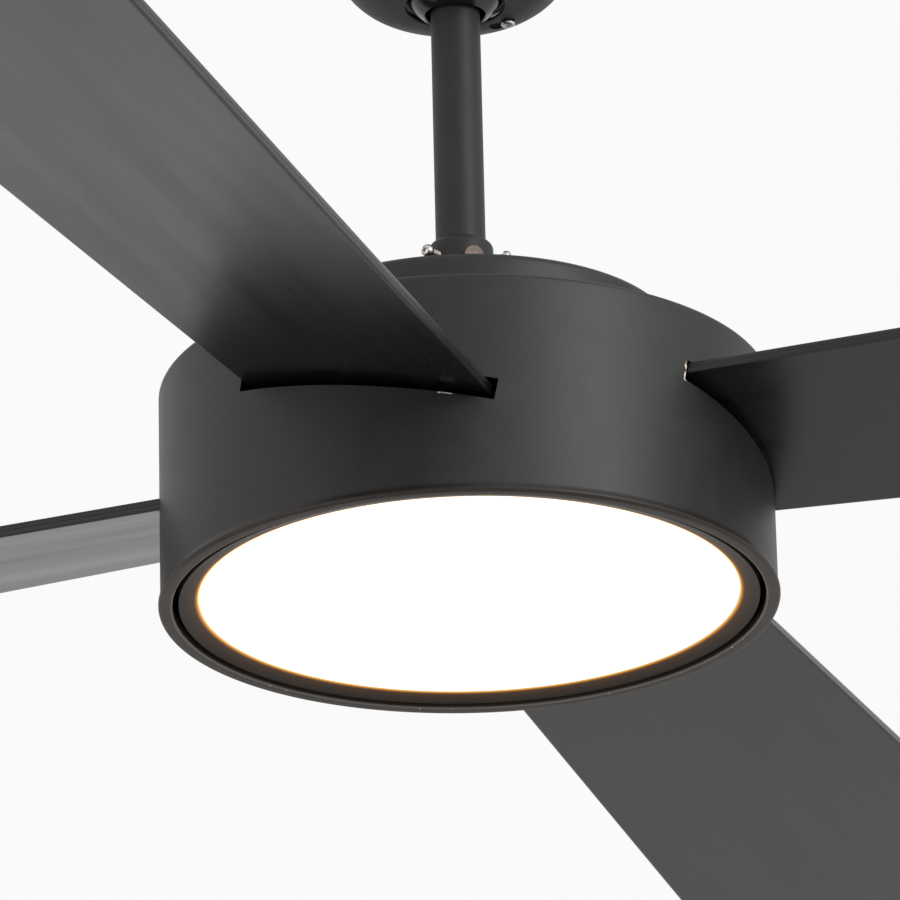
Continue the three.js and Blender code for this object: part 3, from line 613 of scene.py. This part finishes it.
def build_blade(index, materials):
    """A board whose edges are rounded over, with the fine seam of the edge band below mid-height."""
    half = BLADE_THICKNESS / 2
    sections = [
        (2.6, -half), (1.5, -half), (0.75, -half + 0.08), (0.3, -half + 0.35), (0.08, -half + 0.8),
        (0.0, -half + 1.3), (0.0, -0.25), (0.16, -0.12), (0.16, 0.08), (0.0, 0.2),
        (0.0, half - 1.3), (0.08, half - 0.8), (0.3, half - 0.35), (0.75, half - 0.08), (1.5, half),
        (2.6, half),
    ]
    loops = [blade_loop(inset, z) for inset, z in sections]
    count = len(loops[0])
    vertices = [v for loop in loops for v in loop]
    faces = []
    for row in range(len(loops) - 1):
        for k in range(count):
            n = (k + 1) % count
            low, high = row * count, (row + 1) * count
            faces.append((low + k, low + n, high + n, high + k))
    top = (len(loops) - 1) * count
    mates = [(k, count - 1 - k) for k in range(count // 2)]
    for (a, b), (c, d) in zip(mates, mates[1:]):
        faces.append((a, b, d, c))
        faces.append((top + a, top + c, top + d, top + b))
    number = index + 1
    blade = add_mesh("blade_board_%d" % number, vertices, faces, 40)
    grain = blade.data.uv_layers.new(name="grain")
    for loop in blade.data.loops:
        x, y, z = blade.data.vertices[loop.vertex_index].co
        grain.data[loop.index].uv = (x + 3.1 * index, y + z + 0.7 * index)
    place(blade, blade_matrix(index))
    finish_piece(blade, materials["blade_board"], "rotor", "blade_board", "blade_%d" % number)


# ---- light -----------------------------------------------------------------------------------
def build_light(materials):
    bezel = turned(
        "bezel",
        [
            (139.4, 5.4),
            (139.65, 5.12),
            (148.9, 2.2),
            *arc(149.15, 2.55, 0.5, -100, 0, 4),
            (149.7, 20.0),
            (148.2, 20.0),
            (148.2, 6.5),
            (139.4, 6.5),
        ],
        step=1.5,
        sharp=35,
    )
    finish_piece(bezel, materials["bezel_paint"], "light_cover", "bezel_paint", "bezel_ring")
    low = 5.2
    flange = 6.8
    high = 9.3
    profile = [
        *[(r, low) for r in range(0, 137, 8)],
        *arc(138.7, low + 0.4, 0.4, -90, 0, 4),
        (139.1, flange),
        *arc(144.4, flange + 0.6, 0.6, -90, 0, 3),
        *arc(144.4, high - 0.6, 0.6, 0, 90, 4),
        (0, high),
    ]
    lens = turned("opal_plate", profile, sharp=35)
    finish_piece(lens, materials["opal_diffuser"], "light_cover", "opal_diffuser", "diffuser")


# ---- rod, coupling and their fasteners ---------------------------------------------------------
def level_cutter(radius, azimuth, start, length, h):
    return place(bar("cutter", radius, length, 48), along(azimuth, start, h))


def build_rod(materials):
    profile = [
        *arc(12.6, 170.8, 0.5, -90, 0, 3),
        *arc(12.6, 371.5, 0.5, 0, 90, 3),
        (10.6, 372.0),
        (10.6, 170.3),
    ]
    rod = turned("rod_tube", profile, 128, step=6, sharp=40)
    heights = (PIN_HEIGHT, BALL_PIN_HEIGHT)
    pins = [level_cutter(PIN_HOLE_RADIUS, PIN_AZIMUTH, -20, 40, h) for h in heights]
    cut(rod, pins, 40)
    finish_piece(rod, materials["rod_paint"], "stator", "rod_paint", "downrod")


def build_coupling(materials):
    wall = 13.4
    profile = [
        (9.3, 156.0),
        (16.2, 156.0),
        (17.0, 156.8),
        *arc(13.0, 199.0, 4.0, 0, 62, 8),
        (14.1, 202.9),
        *arc(13.9, 202.4, 0.5, 90, 180, 3),
        (wall, 170.0),
        (5.0, 170.0),
        (5.0, 164.0),
        (9.3, 164.0),
    ]
    collar = turned("coupling_collar", profile, 128, step=3, sharp=40)
    holes = [level_cutter(PIN_HOLE_RADIUS, PIN_AZIMUTH, -25, 50, PIN_HEIGHT)]
    for azimuth in COUPLING_SCREW_AZIMUTHS:
        holes.append(level_cutter(2.3, azimuth, 5, 20, COUPLING_SCREW_HEIGHT))
    cut(collar, holes, 40)
    finish_piece(collar, materials["rod_paint"], "stator", "rod_paint", "yoke_coupling")


def cross_recess(depth, reach, width, matrix):
    """Cutters for a cross-head recess at the top of a screw that points down -Z from its frame."""
    arms = []
    for a, b in ((reach, width), (width, reach)):
        arm = box("cutter", (-a, -b, -depth), (a, b, depth))
        for vertex in arm.data.vertices:
            if vertex.co.z < 0:
                vertex.co.x *= 0.45
                vertex.co.y *= 0.45
        arms.append(place(arm, matrix))
    return arms


def pan_screw(name, head_radius, head_height, shank_radius, length, matrix):
    """A cross-head pan screw whose head's top is at the frame's origin, its shank along -Z."""
    crown = 0.34 * head_height
    pitch = 0.7
    thread = []
    for i in range(int((length - head_height - 2) / pitch)):
        h = -length + 1.0 + pitch * i
        thread += [(shank_radius * 0.84, h), (shank_radius, h + pitch / 2)]
    profile = [
        (0, -length),
        (shank_radius * 0.6, -length),
        *thread,
        (shank_radius, -head_height),
        (head_radius * 0.96, -head_height),
        (head_radius, -head_height * 0.86),
        (head_radius * 0.985, -head_height * 0.55),
        (head_radius * 0.92, -head_height * 0.28),
        (head_radius * 0.78, -crown * 0.42),
        (head_radius * 0.5, -crown * 0.13),
        (0, 0),
    ]
    screw = turned(name, [(r, h + CEILING) for r, h in profile], 40, sharp=50)
    place(screw, matrix)
    recess = cross_recess(head_height * 0.8, head_radius * 0.62, head_radius * 0.13, matrix)
    return cut(screw, recess, 50)


def build_fasteners(materials):
    steel = materials["screw_steel"]
    face = COUPLING_SCREW_REACH + 3.4
    for number, azimuth in enumerate(COUPLING_SCREW_AZIMUTHS, 1):
        turn = Matrix.Rotation(math.radians(20 * number), 4, "Z")
        screw = pan_screw(
            "collar_screw_%d" % number, 3.4, 3.4, 2.0, face - 13.4,
            along(azimuth, face, COUPLING_SCREW_HEIGHT) @ turn,
        )
        finish_piece(screw, steel, "stator", "screw_steel", "coupling_screw_%d" % number)
    for number, turn in ((1, 0), (2, 180)):
        at = polar(CANOPY_SCREW_RADIUS, CANOPY_SCREW_AZIMUTH + turn, 338.3)
        flip = (
            Matrix.Translation(at)
            @ Matrix.Rotation(math.pi, 4, "X")
            @ Matrix.Rotation(0.6, 4, "Z")
        )
        screw = pan_screw("ceiling_cap_screw_%d" % number, 3.8, 2.4, 1.9, 15.4, flip)
        finish_piece(screw, steel, "hanger", "screw_steel", "canopy_screw_%d" % number)
    head = bar("pin_head", 5.2, 1.9, 64, 0.45)
    place(head, along(PIN_AZIMUTH, 17.3, PIN_HEIGHT))
    shank = bar("pin_shank", 3.0, 40.5, 48, 0.6)
    place(shank, along(PIN_AZIMUTH, -23.5, PIN_HEIGHT))
    hole = bar("cutter", 1.3, 12, 24)
    place(hole, Matrix.Translation(polar(-CLIP_REACH, PIN_AZIMUTH, PIN_HEIGHT - 6)))
    cut(shank, [hole])
    pin = join("pin", [head, shank])
    finish_piece(pin, materials["pin_steel"], "stator", "screw_steel", "clevis_pin")
    finish_piece(hairpin(), steel, "stator", "screw_steel", "hairpin_clip")


def hairpin():
    """The sprung wire clip that keeps the clevis pin in."""
    def at(out, up):
        return polar(-CLIP_REACH - out, PIN_AZIMUTH, PIN_HEIGHT + up)

    route = [
        at(0, -12), at(0, -4), at(0, 4), at(0.3, 10), at(2.4, 13.5), at(5.4, 12.6),
        at(6.4, 9), at(4.6, 4), at(4.9, -1), at(5.9, -6),
    ]
    curve = bpy.data.curves.new("clip", "CURVE")
    curve.dimensions = "3D"
    curve.bevel_depth = 0.9 * MM
    curve.bevel_resolution = 4
    curve.use_fill_caps = True
    spline = curve.splines.new("NURBS")
    spline.points.add(len(route) - 1)
    for control, co in zip(spline.points, route):
        control.co = (*co, 1)
    spline.use_endpoint_u = True
    spline.order_u = 3
    spline.resolution_u = 8
    temporary = bpy.data.objects.new("clip_curve", curve)
    scene.collection.objects.link(temporary)
    view = bpy.context.evaluated_depsgraph_get()
    mesh = bpy.data.meshes.new_from_object(temporary.evaluated_get(view))
    bpy.data.objects.remove(temporary)
    clip = bpy.data.objects.new("clip", mesh)
    scene.collection.objects.link(clip)
    smooth(clip, 40)
    return clip


# ---- ball and canopy ---------------------------------------------------------------------------
def build_ball(materials):
    mouth = 16.5
    start = -math.degrees(math.acos(mouth / BALL_RADIUS))
    skin = arc(0, BALL_HEIGHT, BALL_RADIUS, start + 2.4, 62, 40)
    low = BALL_HEIGHT + BALL_RADIUS * math.sin(math.radians(start))
    top = skin[-1][1]
    profile = [
        (14.6, 346.0),
        (15.6, low + 1.4),
        (15.9, low + 0.5),
        (16.5, low + 0.05),
        *skin,
        (10.6, top),
        (10.6, 372.3),
        (13.4, 372.3),
        (13.4, 350.0),
    ]
    ball = turned("ball", profile, 160, sharp=50)
    cut(ball, [level_cutter(PIN_HOLE_RADIUS, PIN_AZIMUTH, -32, 64, BALL_PIN_HEIGHT)], 50)
    finish_piece(ball, materials["ball_plastic"], "stator", "ball_plastic", "hanger_ball")


def keyhole_cutters(turn):
    """A slot around the axis with a wide round end, cut through the canopy's flat bottom."""
    bottom = 337.0
    depth = 10
    half = 2.5
    spare = 3  # degrees that the narrow end runs on past the screw
    low = (bottom - CEILING) * MM
    high = (bottom + depth - CEILING) * MM
    start = CANOPY_SCREW_AZIMUTH + turn
    steps = 12
    angles = [start - spare + (CANOPY_TRAVEL + spare) * i / steps for i in range(steps + 1)]
    inner = [polar(CANOPY_SCREW_RADIUS - half, a, 0) for a in angles]
    outer = [polar(CANOPY_SCREW_RADIUS + half, a, 0) for a in angles]
    loop = outer + inner[::-1]
    count = len(loop)
    vertices = [(v.x, v.y, z) for z in (low, high) for v in loop]
    faces = [(k, (k + 1) % count, count + (k + 1) % count, count + k) for k in range(count)]
    faces += [list(reversed(range(count))), list(range(count, 2 * count))]
    narrow = add_mesh("cutter", vertices, faces)
    ends = []
    for azimuth, radius in ((start - spare, half), (start + CANOPY_TRAVEL, 4.6)):
        at = Matrix.Translation(polar(CANOPY_SCREW_RADIUS, azimuth, bottom))
        ends.append(place(bar("cutter", radius, depth, 32), at))
    return [narrow, *ends]


def build_canopy(materials):
    bottom = 341.0
    sheet = 1.5
    radius = 34.0
    flat = 31.0
    top = CEILING - 0.5
    profile = [
        *arc(27.1, bottom + 0.6, 0.6, 180, 270, 4),
        *arc(flat, bottom + radius, radius, -90, 0, 28),
        (66.2, top - 1.0),
        (66.5, top),
        (65.0, top),
        *arc(flat, bottom + radius, radius - sheet, 0, -90, 28),
        (26.5, bottom + sheet),
    ]
    canopy = turned("canopy_shell", profile, 192, step=2.5, sharp=40)
    cut(canopy, keyhole_cutters(0) + keyhole_cutters(180), 40)
    finish_piece(canopy, materials["canopy_paint"], "canopy", "canopy_paint", "canopy")


# ---- the CAD's own pieces --------------------------------------------------------------------
def dress_frame(materials):
    slots = {part["node"]: part["material_slot"] for part in frame["record"]["subparts"]}
    for name, obj in frame["nodes"].items():
        if not obj.material_slots:
            obj.data.materials.append(None)
        for holder in obj.material_slots:
            holder.material = materials[slots[name]]


# ---- studio ----------------------------------------------------------------------------------
def add_studio():
    world = bpy.data.worlds.new("studio")
    scene.world = world
    world.use_nodes = True
    background = world.node_tree.nodes["Background"]
    background.inputs["Color"].default_value = (0.955, 0.957, 0.96, 1)
    background.inputs["Strength"].default_value = 1.0
    side, level = 9, -2.6
    corners = [(x * side, y * side, level) for x, y in ((-1, -1), (1, -1), (1, 1), (-1, 1))]
    floor = add_mesh("floor", corners, [(0, 1, 2, 3)])
    material, nodes, links = shader("floor")
    tint = add_noise(nodes, links, 3, 3)
    colour = add_ramp(nodes, links, tint, [(0.3, grey(0.70)), (0.7, grey(0.74))])
    links.new(colour, nodes["Principled BSDF"].inputs["Base Color"])
    nodes["Principled BSDF"].inputs["Roughness"].default_value = 0.8
    floor.data.materials.append(material)
    for name, at, size, power in (
        ("soft_left", (-3.4, -2.2, -1.0), 2.2, 29),
        ("soft_right", (3.8, -0.6, -0.6), 1.6, 14),
        ("key", (2.35, -2.2, 0.62), 1.6, 64),
    ):
        data = bpy.data.lights.new(name, "AREA")
        data.energy = power
        data.size = size
        light = bpy.data.objects.new(name, data)
        scene.collection.objects.link(light)
        light.location = at
        aim = Vector((0, 0, -0.36)) - Vector(at)
        light.rotation_euler = aim.to_track_quat("-Z", "Y").to_euler()
    scene.view_settings.view_transform = "Standard"


add_camera()
materials = make_materials()
dress_frame(materials)
build_drum(materials)
build_cover(materials)
for blade_index in range(BLADE_COUNT):
    build_blade(blade_index, materials)
build_light(materials)
build_rod(materials)
build_coupling(materials)
build_fasteners(materials)
build_ball(materials)
build_canopy(materials)
add_studio()
